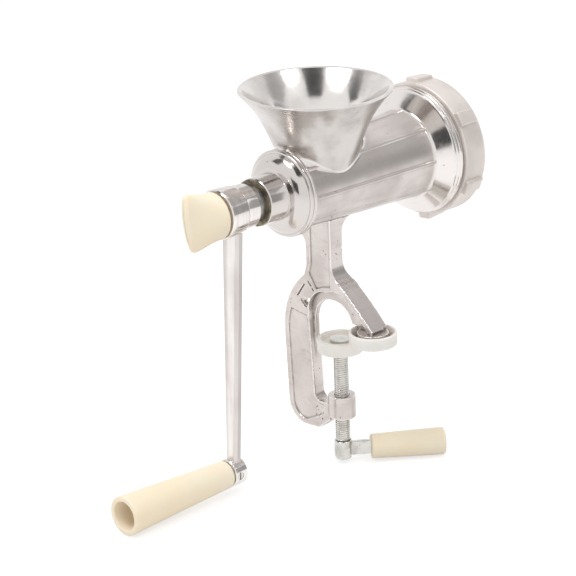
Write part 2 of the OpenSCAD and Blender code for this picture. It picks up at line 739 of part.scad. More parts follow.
module crank_grip() {
  wall_out = grip_r_out - 3;
  color(cream) on_spindle() rotate_extrude() polygon(concat(
    [[spindle_r + run, grip_in], [grip_r_in - 0.8, grip_in]],
    arc([grip_r_in - 0.8, grip_in - 0.8], 0.8, 80, 0, 3),
    [[grip_r_out, grip_out + 1.2]],
    arc([grip_r_out - 1, grip_out + 1], 1, 0, -90, 3),
    [[wall_out, grip_out], [wall_out - 0.6, grip_out + 0.8], [hollow_r, hollow_x],
     [spindle_r + run, hollow_x]]));
}

module wing_head() {
  tip_x = wing_x - wing_len;
  color(cream) difference() {
    on_axis() rotate([0, 0, -wing_turn]) union() {
      translate([0, 0, wing_x - wing_foot]) cylinder(h = wing_foot, r = wing_foot_r);
      hull() {
        translate([0, 0, wing_x - wing_foot]) cylinder(h = 1, r = wing_foot_r, $fn = 48);
        for (s = [-1, 1])
          translate([s * (wing_w - wing_t) / 2, 0, tip_x + wing_t / 2]) sphere(r = wing_t / 2, $fn = 24);
      }
    }
    axle(wing_x - 14, wing_x + 1, stud_r + snug);
  }
}

module wing_stud() {
  tip = square_out + stud_grip;
  thread_h = 0.6 * stud_pitch;
  color(zinc) turned([[0, wing_x - 13.8], [stud_r, wing_x - 13.8], [stud_r, tip - thread_h],
    [stud_r - thread_h, tip], [0, tip]]);
}

module wing_washer() {
  color(zinc) difference() {
    axle(wing_x, wing_x + washer_t, stud_r + 4.5);
    axle(wing_x - 1, wing_x + washer_t + 1, stud_r + snug);
  }
}

module screw_pad() {
  color(white) on_screw() difference() {
    union() {
      translate([0, 0, lower_pad_bottom]) cylinder(h = 1, r1 = lower_pad_r - 1, r2 = lower_pad_r);
      translate([0, 0, lower_pad_bottom + 1]) cylinder(h = lower_pad_h - 1, r = lower_pad_r);
    }
    translate([0, 0, lower_pad_top - pad_dish]) cylinder(h = pad_dish + 1, r = lower_pad_r - 3);
    translate([0, 0, lower_pad_bottom - 1]) cylinder(h = lower_pad_h, r = pad_pin_r + run);
  }
}

module pad_screw() {
  head_r = screw_r + 1.6;
  head_z = lower_pad_top - pad_dish + face_gap;
  foot = lower_pad_bottom - face_gap - 6;
  color(zinc) on_screw() {
    translate([0, 0, head_z]) cylinder(h = 2, r = head_r);
    translate([0, 0, foot]) cylinder(h = head_z + 1 - foot, r = pad_pin_r);
  }
}

// The screw's foot stands in the collar, above the tang, and its top edge is chamfered to the thread's root
module clamp_screw() {
  top = lower_pad_bottom - face_gap;
  foot = tang_z + tang_w / 2 + 2 * face_gap;
  thread_h = 0.6 * screw_pitch;
  color(zinc) on_screw() difference() {
    rotate_extrude() polygon([[0, foot], [screw_r, foot], [screw_r, top - thread_h],
      [screw_r - thread_h, top], [0, top]]);
    translate([0, 0, top - 6]) cylinder(h = 7, r = pad_pin_r + snug);
  }
}

// Slot through the collar for the tang
module tang_slot() {
  translate([0, 0, tang_z]) rotate([0, 0, clamp_turn])
    cube([4 * collar_r, tang_t + 2 * snug, tang_w + 2 * snug], center = true);
}

module screw_collar() {
  color(zinc) on_screw() difference() {
    union() {
      translate([0, 0, screw_foot]) cylinder(h = collar_len - 2.4, r = collar_r - 0.4);
      translate([0, 0, collar_top - 3.4]) cylinder(h = 3.4, r = collar_r);
    }
    translate([0, 0, tang_z + tang_w / 2 + face_gap]) cylinder(h = collar_len, r = screw_r + run);
    tang_slot();
  }
}

module clamp_tang() {
  color(zinc) on_screw() translate([0, 0, tang_z]) rotate([0, 0, clamp_turn])
    translate([-collar_r, -tang_t / 2, -tang_w / 2]) cube([tang_len + collar_r, tang_t, tang_w]);
}

module clamp_grip() {
  color(cream) on_screw() translate([0, 0, tang_z]) rotate([0, 0, clamp_turn]) difference() {
    rotate([0, 90, 0]) rotate_extrude() polygon(concat(
      [[0, clamp_grip_start]],
      arc([clamp_grip_r_in - 0.8, clamp_grip_start + 0.8], 0.8, -90, 0, 3),
      arc([clamp_grip_r_out - 1.2, clamp_grip_start + clamp_grip_len - 1.2], 1.2, 0, 90, 4),
      [[0, clamp_grip_start + clamp_grip_len]]));
    translate([0, -tang_t / 2 - snug, -tang_w / 2 - snug])
      cube([tang_len + snug, tang_t + 2 * snug, tang_w + 2 * snug]);
  }
}

hopper();
barrel();
clamp_frame();
neck_bush();
plate_key();
table_pad();
drive_shaft();
worm();
worm_thrust_washer();
cross_knife();
mincing_plate();
ring_nut();
crank_arm();
eye_screw();
grip_spindle();
grip_washer();
crank_grip();
wing_head();
wing_stud();
wing_washer();
screw_pad();
pad_screw();
clamp_screw();
screw_collar();
clamp_tang();
clamp_grip();
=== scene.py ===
import math
import bmesh
import bpy
from mathutils import Matrix, Vector


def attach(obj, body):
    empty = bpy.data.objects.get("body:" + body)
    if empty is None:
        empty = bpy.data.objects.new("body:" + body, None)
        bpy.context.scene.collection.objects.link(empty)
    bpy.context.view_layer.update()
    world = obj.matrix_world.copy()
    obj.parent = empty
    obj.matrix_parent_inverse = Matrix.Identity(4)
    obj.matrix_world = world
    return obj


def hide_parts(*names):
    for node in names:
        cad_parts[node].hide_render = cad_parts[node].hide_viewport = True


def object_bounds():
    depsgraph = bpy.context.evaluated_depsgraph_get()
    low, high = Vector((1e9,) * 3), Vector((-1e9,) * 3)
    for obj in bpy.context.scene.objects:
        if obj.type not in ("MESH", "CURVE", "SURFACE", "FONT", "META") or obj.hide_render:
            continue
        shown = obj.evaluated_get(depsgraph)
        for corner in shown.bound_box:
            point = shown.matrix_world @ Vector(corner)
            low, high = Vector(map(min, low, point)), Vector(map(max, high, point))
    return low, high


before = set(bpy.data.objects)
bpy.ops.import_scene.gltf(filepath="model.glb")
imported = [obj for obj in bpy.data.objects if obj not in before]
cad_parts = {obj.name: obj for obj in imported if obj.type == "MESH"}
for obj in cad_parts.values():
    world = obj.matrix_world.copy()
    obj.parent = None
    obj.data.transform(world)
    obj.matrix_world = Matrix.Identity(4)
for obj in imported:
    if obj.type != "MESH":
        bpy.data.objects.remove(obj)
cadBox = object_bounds()
scene = bpy.context.scene
scene.view_settings.view_transform = "Standard"
mm = 0.001  # sizes below are in millimetres, Blender's are in metres
sameSpot = 0.002 * mm  # points closer than this are merged

# Axes that the round parts stand on: a point, the direction along, and the direction a profile starts from
gripTurn = math.radians(-37)
spines = {
    "barrel": (Vector((-3, 43, 101.5)), Vector((1, 0, 0)), Vector((0, 0, 1))),
    "hopper": (Vector((-3, 43, 101.5)), Vector((0, 0, 1)), Vector((1, 0, 0))),
    "spindle": (Vector((-3, 50.5376, -78.3421)), Vector((1, 0, 0)), Vector((0, 0, 1))),
    "screw": (Vector((0, 30.5, 0)), Vector((0, 0, 1)), Vector((1, 0, 0))),
    "tablePad": (Vector((0, 0, 0)), Vector((0, 0, 1)), Vector((1, 0, 0))),
    "handle": (Vector((0, 30.5, -82.5)), Vector((math.cos(gripTurn), math.sin(gripTurn), 0)),
               Vector((0, 0, 1))),
}


# Shader wiring
class Wire:  # one socket of a node tree, so that shader maths reads as an expression
    def __init__(self, tree, socket=None):
        self.tree = tree
        self.socket = socket

    def node(self, kind, settings=None, sockets=None, output=0):
        made = self.tree.nodes.new("ShaderNode" + kind)
        for name, value in (settings or {}).items():
            setattr(made, name, value)
        for name, value in (sockets or {}).items():
            if isinstance(value, Wire):
                self.tree.links.new(value.socket, made.inputs[name])
            else:
                made.inputs[name].default_value = value
        return Wire(self.tree, made.outputs[output] if made.outputs else None)

    def maths(self, operation, first, second):
        return self.node("Math", {"operation": operation}, {0: first, 1: second})

    def __add__(self, other):
        return self.maths("ADD", self, other)

    def __radd__(self, other):
        return self.maths("ADD", other, self)

    def __sub__(self, other):
        return self.maths("SUBTRACT", self, other)

    def __rsub__(self, other):
        return self.maths("SUBTRACT", other, self)

    def __mul__(self, other):
        return self.maths("MULTIPLY", self, other)

    def __rmul__(self, other):
        return self.maths("MULTIPLY", other, self)

    def step(self, low, high, bottom=0.0, top=1.0):  # soft threshold between two values
        return self.node("MapRange", {"interpolation_type": "SMOOTHSTEP"},
                         {0: self, 1: low, 2: high, 3: bottom, 4: top})

    def blend(self, under, over):  # mixes two colours by this value
        return self.node("Mix", {"data_type": "RGBA"}, {0: self, 6: under, 7: over}, 2)

    def place(self, scale=(1, 1, 1), turn=(0, 0, 0), shift=(0, 0, 0)):
        coords = self.node("TexCoord", None, None, "Object")
        return self.node("Mapping", None,
                         {"Vector": coords, "Location": shift, "Rotation": turn, "Scale": scale})

    def along(self, axis, kind="Object"):  # one coordinate of the place, or of the surface's direction
        return self.node("SeparateXYZ", None, {0: self.node("TexCoord", None, None, kind)}, "xyz".index(axis))

    def noise(self, where, scale, detail=3.0, roughness=0.55):
        return self.node("TexNoise", None,
                         {"Vector": where, "Scale": scale, "Detail": detail, "Roughness": roughness})


def tone(red, green, blue):  # a colour as a picture editor shows it, made linear
    shares = [part / 255 for part in (red, green, blue)]
    return tuple(s / 12.92 if s < 0.04045 else ((s + 0.055) / 1.055) ** 2.4 for s in shares) + (1.0,)


def openMaterial(name):
    made = bpy.data.materials.new(name)
    made.use_nodes = True
    made.node_tree.nodes.clear()
    return made, Wire(made.node_tree)


def closeMaterial(made, wire, sockets, height=None, depth=0.1):
    if height is not None:  # depth is the bump's height in millimetres
        sockets["Normal"] = wire.node("Bump", None,
                                      {"Strength": 1.0, "Distance": depth * mm, "Height": height})
    shader = wire.node("BsdfPrincipled", None, sockets)
    wire.node("OutputMaterial", None, {"Surface": shader})
    return made


def polishedMetal():
    look = {"pale": tone(232, 228, 225), "smoky": tone(190, 184, 180), "gloss": 0.12}
    made, wire = openMaterial("polishedMetal")
    smudge = wire.noise(wire.place(), 38, 3).step(0.40, 0.70)
    lines = wire.noise(wire.place((60, 60, 1400)), 1, 2)
    dings = wire.noise(wire.place(), 240, 2)
    under = wire.along("z", "Normal").step(-0.05, -0.30)  # painted shade: undersides are darker, and a little rougher
    # the smoky colour serves both the real smudges and the painted shade of the undersides
    colour = (smudge * 0.5 + lines * 0.2 + under * 0.45).blend(look["pale"], look["smoky"])
    rough = smudge * 0.08 + lines * 0.06 + under * 0.07 + look["gloss"]
    return closeMaterial(made, wire, {"Base Color": colour, "Metallic": 1.0, "Roughness": rough},
                         lines * 0.25 + dings * 0.75, 0.035)


def barrelMetal():  # satin along the barrel, buffed on the flare, the rear dome and the neck
    look = {"pale": tone(216, 209, 205), "grey": tone(186, 178, 174), "pit": tone(112, 103, 98),
            "buffed": tone(232, 227, 224), "rearFrom": (-29.0, -33.5), "flareFrom": (72.5, 76.0)}
    made, wire = openMaterial("barrelMetal")
    across = wire.along("x")
    rear, flare = (across.step(*(edge * mm for edge in look[key])) for key in ("rearFrom", "flareFrom"))
    buff = rear + flare
    cloud = wire.noise(wire.place(), 30, 4).step(0.34, 0.66)
    flow = wire.noise(wire.place((50, 260, 260)), 1, 4).step(0.40, 0.76)
    grain = wire.noise(wire.place(), 1500, 2)
    pits = wire.noise(wire.place(), 520, 1, 0.4).step(0.76, 0.81)
    satin = (cloud * 0.6 + flow * 0.2).blend(look["pale"], look["grey"])
    buffed = (rear * 0.45).blend(look["buffed"], look["grey"])
    colour = (pits * 0.8).blend(buff.blend(satin, buffed), look["pit"])
    rough = (1 - buff) * (cloud * 0.10 + 0.17) + flow * 0.06 + 0.13
    return closeMaterial(made, wire, {"Base Color": colour, "Metallic": 1.0, "Roughness": rough},
                         (grain * 0.4 + flow * 0.4 + cloud * 0.3) * (1 - buff * 0.8) - pits * 0.5, 0.05)


def crankMetal():  # buffed hub and eye, paler satin arm; painted shade greys the arm's bevel, flank and left side
    # edge is the colour of the painted shade on the arm's bevel, flank and left side
    look = {"pale": tone(238, 233, 230), "grey": tone(214, 206, 202), "smoky": tone(200, 194, 190),
            "edge": tone(170, 164, 160), "lean": 0.042}  # lean is the arm's drift sideways for its drop
    made, wire = openMaterial("crankMetal")
    height = wire.along("z")
    arm = height.step(0.0895, 0.0870) * height.step(-0.0730, -0.0695)
    cloud = wire.noise(wire.place(), 30, 4).step(0.36, 0.68)
    lines = wire.noise(wire.place((240, 240, 16)), 1, 3).step(0.4, 0.74)
    grain = wire.noise(wire.place(), 1400, 2)
    # painted shade: faces turned towards -Y (bevel, flank) and the arm's side beyond the axis are greyed
    facing = wire.along("y", "Normal")
    bevel, flank = facing.step(-0.35, -0.6, 0, 0.3), facing.step(-0.8, -0.95, 0, 0.35)
    fromAxis = wire.along("y") - 0.043 - (0.1015 - height) * look["lean"]
    side = bevel + flank + fromAxis.step(0.0003, 0.0036, 0, 0.45)
    plain = (cloud * 0.5 + lines * 0.5).blend(look["pale"], arm.blend(look["smoky"], look["grey"]))
    rough = arm * (cloud * 0.06 + 0.16) + lines * 0.06 + 0.12
    return closeMaterial(made, wire, {
        "Base Color": (side * arm).blend(plain, look["edge"]), "Metallic": 1.0, "Roughness": rough},
        (grain * 0.3 + lines * 0.4 + cloud * 0.3) * (arm * 0.7 + 0.3), 0.05)


def castMetal():
    look = {"pale": tone(210, 203, 199), "grey": tone(180, 172, 168)}
    made, wire = openMaterial("castMetal")
    cloud = wire.noise(wire.place(), 24, 4).step(0.36, 0.66)
    grain = wire.noise(wire.place(), 1500, 2)
    return closeMaterial(made, wire, {
        "Base Color": (cloud * 0.8).blend(look["pale"], look["grey"]), "Metallic": 1.0,
        "Roughness": cloud * 0.10 + 0.32}, grain * 0.5 + cloud * 0.5, 0.06)


def frameMetal():  # the mesh's painted layer: painted shade darkens creases, painted highlight brightens edges
    look = {"pale": tone(214, 206, 202), "grey": tone(186, 177, 173), "pit": tone(118, 108, 103),
            "creaseShade": tone(96, 89, 86), "highlightTone": tone(240, 235, 232)}
    made, wire = openMaterial("frameMetal")
    creaseShadeEdgeHighlight = wire.node("SeparateColor", None, {0: wire.node("Attribute", {"attribute_name": "creaseShadeEdgeHighlight"})})
    paintedEdgeHighlight = creaseShadeEdgeHighlight.step(0.506, 0.545)
    cloud = wire.noise(wire.place(), 34, 4).step(0.36, 0.66)
    flow = wire.noise(wire.place((40, 90, 300), (0.3, 0.5, 0.2)), 1, 3).step(0.5, 0.75)
    grain = wire.noise(wire.place(), 1100, 3)
    pits = wire.noise(wire.place(), 460, 1, 0.4).step(0.735, 0.80)
    colour = (pits * 0.7).blend((cloud * 0.5 + flow * 0.4).blend(look["pale"], look["grey"]), look["pit"])
    # painted shade in the creases
    colour = (creaseShadeEdgeHighlight.step(0.494, 0.460) * 0.85).blend(colour, look["creaseShade"])
    # painted highlight on the edges, which are also made a little glossier
    colour = (paintedEdgeHighlight * 0.95).blend(colour, look["highlightTone"])
    return closeMaterial(made, wire, {
        "Base Color": colour, "Metallic": 1.0, "Roughness": cloud * 0.10 + pits * 0.2 - paintedEdgeHighlight * 0.10 + 0.26},
        grain * 0.4 + flow * 0.3 + cloud * 0.3 - pits * 0.5, 0.07)


def matteMetal():
    look = {"pale": tone(232, 224, 219), "grey": tone(210, 202, 197)}
    made, wire = openMaterial("matteMetal")
    cloud = wire.noise(wire.place(), 30, 4).step(0.35, 0.68)
    grain = wire.noise(wire.place(), 1700, 2, 0.7)
    return closeMaterial(made, wire, {
        "Base Color": (cloud * 0.7).blend(look["pale"], look["grey"]), "Metallic": 0.8,
        "Roughness": cloud * 0.08 + 0.50}, grain * 0.7 + cloud * 0.3, 0.06)


def zincMetal():
    look = {"pale": tone(216, 214, 209), "grey": tone(184, 182, 176), "stain": tone(140, 138, 131)}
    made, wire = openMaterial("zincMetal")
    spangle = wire.node("TexVoronoi", {"feature": "SMOOTH_F1"}, {"Vector": wire.place(), "Scale": 520.0})
    cloud = wire.noise(wire.place(), 120, 4).step(0.4, 0.66)
    stain = wire.noise(wire.place(), 320, 2).step(0.64, 0.74)
    colour = (stain * 0.5).blend((cloud * 0.7).blend(look["pale"], look["grey"]), look["stain"])
    return closeMaterial(made, wire, {
        "Base Color": colour, "Metallic": 1.0, "Roughness": spangle * 0.08 + cloud * 0.06 + 0.18},
        spangle * 0.5 + cloud * 0.5, 0.012)


def steelMetal():
    look = {"pale": tone(186, 184, 182), "grey": tone(128, 125, 123)}
    made, wire = openMaterial("steelMetal")
    cloud = wire.noise(wire.place(), 60, 4).step(0.38, 0.66)
    lines = wire.noise(wire.place((1500, 90, 90)), 1, 2)
    return closeMaterial(made, wire, {
        "Base Color": (cloud * 0.8).blend(look["pale"], look["grey"]), "Metallic": 1.0,
        "Roughness": lines * 0.14 + cloud * 0.08 + 0.22}, lines * 0.6 + cloud * 0.4, 0.03)


def bronzeMetal():
    look = {"pale": tone(158, 148, 130), "dark": tone(92, 84, 72)}
    made, wire = openMaterial("bronzeMetal")
    cloud = wire.noise(wire.place(), 150, 4).step(0.34, 0.64)
    return closeMaterial(made, wire, {
        "Base Color": cloud.blend(look["pale"], look["dark"]), "Metallic": 0.9,
        "Roughness": cloud * 0.2 + 0.36}, cloud, 0.04)


def creamPlastic():
    look = {"cream": tone(254, 241, 219), "warm": tone(253, 235, 206), "scuff": tone(242, 223, 194)}
    made, wire = openMaterial("creamPlastic")
    cloud = wire.noise(wire.place(), 16, 3).step(0.34, 0.68)
    scuff = wire.noise(wire.place((260, 60, 260)), 1, 3).step(0.66, 0.80)
    grain = wire.noise(wire.place(), 900, 2)
    colour = (scuff * 0.35).blend(cloud.blend(look["cream"], look["warm"]), look["scuff"])
    return closeMaterial(made, wire, {
        "Base Color": colour, "Roughness": cloud * 0.06 + scuff * 0.12 + 0.42, "Specular IOR Level": 0.35,
        "Subsurface Weight": 0.25, "Subsurface Radius": (1.0, 0.7, 0.4), "Subsurface Scale": 0.0025},
        grain * 0.5 + cloud * 0.5, 0.03)


def milkyPlastic():
    look = {"white": tone(255, 249, 242), "grey": tone(251, 242, 233)}
    made, wire = openMaterial("milkyPlastic")
    cloud = wire.noise(wire.place(), 60, 3).step(0.34, 0.68)
    grain = wire.noise(wire.place(), 1300, 2)
    return closeMaterial(made, wire, {
        "Base Color": cloud.blend(look["white"], look["grey"]), "Roughness": cloud * 0.08 + 0.44,
        "Specular IOR Level": 0.35, "Subsurface Weight": 0.5, "Subsurface Radius": (1.0, 0.95, 0.9),
        "Subsurface Scale": 0.004}, grain * 0.6 + cloud * 0.4, 0.03)


finishes = {
    "polished": (polishedMetal(), "polished_aluminium"), "barrel": (barrelMetal(), "cast_aluminium"),
    "crank": (crankMetal(), "polished_aluminium"), "cast": (castMetal(), "cast_aluminium"),
    "frame": (frameMetal(), "cast_aluminium"), "matte": (matteMetal(), "matte_aluminium"),
    "zinc": (zincMetal(), "zinc_steel"), "steel": (steelMetal(), "bare_steel"),
    "bronze": (bronzeMetal(), "bush_bronze"), "cream": (creamPlastic(), "cream_plastic"),
    "milky": (milkyPlastic(), "white_plastic"),
}
print("materials ready:", ", ".join(finishes))


# Modelling helpers
def atRest():  # out of edit mode, nothing selected
    if bpy.context.object and bpy.context.object.mode == "EDIT":
        bpy.ops.object.mode_set(mode="OBJECT")
    bpy.ops.object.select_all(action="DESELECT")


def choose(piece):
    atRest()
    piece.select_set(True)
    bpy.context.view_layer.objects.active = piece


def bow(start, end, sag, steps=14):  # a curve between two profile points that bows sideways
    along = Vector(end) - Vector(start)
    side = Vector((along.y, -along.x)).normalized()
    return [tuple(Vector(start) + along * (k / steps) + side * (sag * 4 * k / steps * (1 - k / steps)))
            for k in range(steps + 1)]


def arc(centre, radius, start, end, steps=6):
    angles = [math.radians(start + (end - start) * k / steps) for k in range(steps + 1)]
    return [(centre[0] + radius * math.cos(a), centre[1] + radius * math.sin(a)) for a in angles]


def curve(points, steps=5):  # a smooth line through the points
    line = []
    for k in range(len(points) - 1):
        four = [Vector(points[min(max(k + n, 0), len(points) - 1)]) for n in (-1, 0, 1, 2)]
        for step in range(steps):
            t = step / steps
            line.append(tuple(four[1] + (four[2] - four[0]) * (t / 2)
                              + (four[0] * 2 - four[1] * 5 + four[2] * 4 - four[3]) * (t * t / 2)
                              + (four[1] * 3 - four[0] - four[2] * 3 + four[3]) * (t ** 3 / 2)))
    return line + [tuple(points[-1])]


def inset(line, depth):  # the same line moved to its left by a depth
    moved = []
    for k, point in enumerate(line):
        along = (Vector(line[min(k + 1, len(line) - 1)]) - Vector(line[max(k - 1, 0)])).normalized()
        moved.append(tuple(Vector(point) + Vector((-along.y, along.x)) * depth))
    return moved


def tidyMesh():  # in edit mode: one skin, faces outwards
    bpy.ops.mesh.select_all(action="SELECT")
    bpy.ops.mesh.remove_doubles(threshold=sameSpot)
    bpy.ops.mesh.normals_make_consistent(inside=False)
    bpy.ops.object.mode_set(mode="OBJECT")


def lathe(name, line, spine, sides=128):  # spins a profile of (radius, place along) round a spine
    atRest()
    origin, along, out = spines[spine]
    points = [(origin + along * a + out * r) * mm for r, a in line]
    bpy.ops.mesh.primitive_plane_add(size=mm, enter_editmode=True)
    piece = bpy.context.object
    piece.name = name
    bpy.ops.mesh.select_mode(type="VERT")
    bpy.ops.mesh.select_all(action="SELECT")
    bpy.ops.mesh.merge(type="CENTER")
    bpy.ops.transform.translate(value=points[0])
    for before, after in zip(points, points[1:]):
        bpy.ops.mesh.extrude_region_move(TRANSFORM_OT_translate={"value": after - before})
    bpy.ops.mesh.select_all(action="SELECT")
    bpy.ops.mesh.spin(steps=sides, angle=math.tau, center=origin * mm, axis=along)
    tidyMesh()
    return piece


def rod(name, radius, start, end, spine, sides=48):  # a plain round bar, mostly to cut holes with
    return lathe(name, [(0, start), (radius, start), (radius, end), (0, end)], spine, sides)


def loft(name, rings, closed=False):  # extrudes a ring of points from place to place
    atRest()
    size = len(rings[0])
    bpy.ops.mesh.primitive_circle_add(vertices=size, enter_editmode=True)
    piece = bpy.context.object
    piece.name = name
    bpy.ops.mesh.select_mode(type="VERT")
    bpy.ops.mesh.select_all(action="SELECT")
    for number, ring in enumerate(rings):
        if number:
            bpy.ops.mesh.extrude_region_move()
        mesh = bmesh.from_edit_mesh(piece.data)
        mesh.verts.ensure_lookup_table()
        for corner, point in zip(mesh.verts[-size:], ring):
            corner.co = Vector(point) * mm
        bmesh.update_edit_mesh(piece.data)
    bpy.ops.mesh.select_all(action="SELECT")
    if not closed:
        bpy.ops.mesh.fill_holes(sides=0)
    tidyMesh()
    return piece


def block(name, low, high):  # a box between two corners, left in edit mode with all of it selected
    atRest()
    bpy.ops.mesh.primitive_cube_add(size=1, enter_editmode=True)
    piece = bpy.context.object
    piece.name = name
    size = Vector(high) - Vector(low)
    bpy.ops.transform.resize(value=size * mm, center_override=(0, 0, 0))
    bpy.ops.transform.translate(value=(Vector(low) + size / 2) * mm)
    return piece


def pick(test, kind="VERT"):  # selects parts of the mesh in edit mode by their place in millimetres
    bpy.ops.mesh.select_mode(type=kind)
    bpy.ops.mesh.select_all(action="DESELECT")
    mesh = bmesh.from_edit_mesh(bpy.context.object.data)
    parts = {"VERT": mesh.verts, "EDGE": mesh.edges, "FACE": mesh.faces}[kind]
    for part in parts:
        places = [part.co] if kind == "VERT" else [corner.co for corner in part.verts]
        if all(test(place / mm) for place in places):
            part.select_set(True)
    bmesh.update_edit_mesh(bpy.context.object.data)


def modify(piece, kind, **settings):
    choose(piece)
    layer = piece.modifiers.new(kind.lower(), kind)
    for name, value in settings.items():
        setattr(layer, name, value)
    bpy.ops.object.modifier_apply(modifier=layer.name)


def roundEdges(piece, width, segments=2, angle=30):
    modify(piece, "BEVEL", width=width * mm, segments=segments, limit_method="ANGLE",
           angle_limit=math.radians(angle))


def carve(piece, tool, how="DIFFERENCE"):
    modify(piece, "BOOLEAN", object=tool, operation=how, solver="EXACT")
    bpy.data.objects.remove(tool)


def join(pieces):
    atRest()
    for piece in pieces:
        piece.select_set(True)
    bpy.context.view_layer.objects.active = pieces[0]
    bpy.ops.object.join()
    return pieces[0]


def move(piece, matrix):  # moves the mesh, the object stays at the origin
    piece.data.transform(matrix)
    return piece


def turnAbout(spine, degrees):
    origin, along, _ = spines[spine]
    centre = Matrix.Translation(origin * mm)
    return centre @ Matrix.Rotation(math.radians(degrees), 4, along) @ centre.inverted()


def seat(piece, body, finish, nodes=(), angle=32):
    choose(piece)
    material, slot = finishes[finish]
    piece.data.materials.clear()
    piece.data.materials.append(material)
    for face in piece.data.polygons:
        face.material_index = 0
    bpy.ops.object.shade_smooth_by_angle(angle=math.radians(angle))
    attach(piece, body)
    if nodes:
        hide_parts(*nodes)
    print("piece", piece.name, len(piece.data.polygons), "faces on", body)
    return piece


# Hopper, profiles as radius and height
hopper = {
    "side": [(21.8, 4), (23.1, 10), (25.1, 17), (28.0, 24.5), (31.6, 33.5), (36.6, 44.4), (40.5, 50.6),
             (44.0, 55.3), (47.0, 58.8), (49.1, 61.1)],
    "lip": [(49.75, 61.8), (50.0, 62.2), (49.95, 62.6), (49.6, 62.9), (49.1, 63.0), (48.5, 62.85),
            (47.9, 62.4)],
    "wall": 2.6, "throatR": 18.5, "footR": 21.8, "foot": 0.5,
    "filletR": 4.6, "filletSkin": 0.03, "filletTop": 36, "filletSides": 160, "filletSteps": 10,
}


def makeHopper():
    side = curve(hopper["side"])
    line = [(hopper["throatR"], hopper["foot"]), (hopper["footR"], hopper["foot"])] + side + hopper["lip"]
    inside = [point for point in inset(side, hopper["wall"]) if point[0] > hopper["throatR"] + 0.4]
    line += inside[::-1][1:] + [line[0]]
    piece = lathe("hopperCone", line, "hopper", 192)
    carve(piece, rod("boreTool", barrel["boreR"], -60, 60, "barrel", 96))
    return seat(piece, "grinder", "polished", ["hopper"], 40)


def ballBeside(side, place, turn):  # centre and touching point of a ball that leans on the hopper's side
    n = min(int(place), len(side) - 2)
    here = Vector(side[n]).lerp(Vector(side[n + 1]), place - n)
    slope = (Vector(side[n + 1]) - Vector(side[n])).normalized()
    centre = here + Vector((slope.y, -slope.x)) * hopper["filletR"]
    return [Vector((p.x * math.cos(turn), p.x * math.sin(turn), p.y)) for p in (centre, here)]


def makeFootFillet():  # the fillet that a ball leaves when it rolls between the hopper and the barrel
    radius, sides, steps = hopper["filletR"], hopper["filletSides"], hopper["filletSteps"]
    side = curve(hopper["side"])
    loops = []
    for k in range(sides):
        low, high = 0, hopper["filletTop"]
        for _ in range(40):  # halves the reach until the ball rests on the barrel
            middle = (low + high) / 2
            centre, touch = ballBeside(side, middle, math.tau * k / sides)
            if math.hypot(centre.y, centre.z) < barrelR(centre.x) + radius:
                low = middle
            else:
                high = middle
        down = Vector((0, -centre.y, -centre.z)).normalized()
        inward = (touch - centre).normalized()
        loop = [centre + inward.slerp(down, s / steps) * (radius + hopper["filletSkin"])
                for s in range(steps + 1)]
        between = (inward + down).normalized()
        loop.append(centre + between * (radius / max(0.35, between.dot(down)) + 0.8))  # inside both walls
        loops.append([p + spines["hopper"][0] for p in loop])
    piece = loft("hopperFootFillet", loops + [loops[0]], True)
    return seat(piece, "grinder", "polished", angle=50)


# Barrel, profiles as radius and place along it
barrel = {
    "rearR": 25.0, "frontR": 29.4, "rearX": -31.0, "bellX": 78.0, "boreR": 21.6, "throatR": 19.6,
    "neck": [(13.75, -56), (14.9, -56), (15.7, -55.2), (15.7, -41.0), (15.9, -40.5), (16.4, -40.3)],
    "dome": [(17.2, -40.2), (19.6, -39.7), (22.2, -38.5), (24.6, -36.6), (26.1, -34.6), (26.7, -33.7)],
    "beadR": 1.4, "beadCentre": 27.2, "rearBead": -32.4, "frontBead": -29.3,
    "skin": (-25.5, -10, 10, 30, 50, 70, 75.6),
    "flare": [(29.5, 77.2), (30.0, 78.0), (31.2, 78.7), (40.2, 84.0), (41.0, 84.35), (41.3, 84.8),
              (41.3, 86.3)],
    "steps": [(41.5, 86.5), (41.9, 86.7), (42.0, 87.0), (42.0, 88.4), (42.2, 88.6), (42.6, 88.8),
              (42.7, 89.2), (42.7, 90.7), (42.4, 91)],
    "spigot": [(40.2, 91), (40.2, 103.7), (39.4, 104.5), (34.88, 104.5), (34.88, 87)],
    "neckBore": [(12.52, -33.5), (12.52, -44), (13.75, -44), (13.75, -56)],
    "ribs": (-45, 0, 45, 90), "ribH": 1.1, "ribW": 2.2, "ribFrom": -26, "ribTo": 79.4,
    "ribFlank": [(1.3, -1.2), (1.3, -0.1), (0.45, 0.08), (0.1, 0.45), (-0.15, 0.85), (-0.4, 1.0)],
}


def barrelR(x):  # the barrel's outer radius at a place along it
    share = (x - barrel["rearX"]) / (barrel["bellX"] - barrel["rearX"])
    return barrel["rearR"] + (barrel["frontR"] - barrel["rearR"]) * share


def makeBarrel():
    out, bead, bore = barrel["beadCentre"], barrel["beadR"], barrel["boreR"]
    line = barrel["neck"] + curve(barrel["dome"], 4)
    line += arc((out, barrel["rearBead"]), bead, -100, 62, 12) + [(27.15, -30.9)]
    line += arc((out, barrel["frontBead"]), bead, -62, 78, 12) + [(26.2, -27.1), (25.5, -26.8)]
    line += [(barrelR(x), x) for x in barrel["skin"]] + barrel["flare"] + barrel["steps"] + barrel["spigot"]
    line += [(bore, 80), (bore, -33.5)] + barrel["neckBore"]
    piece = lathe("barrelShell", line, "barrel", 192)
    carve(piece, rod("throatTool", barrel["throatR"], 0, 34, "hopper", 96))
    return seat(piece, "grinder", "barrel", ["barrel"], 30)


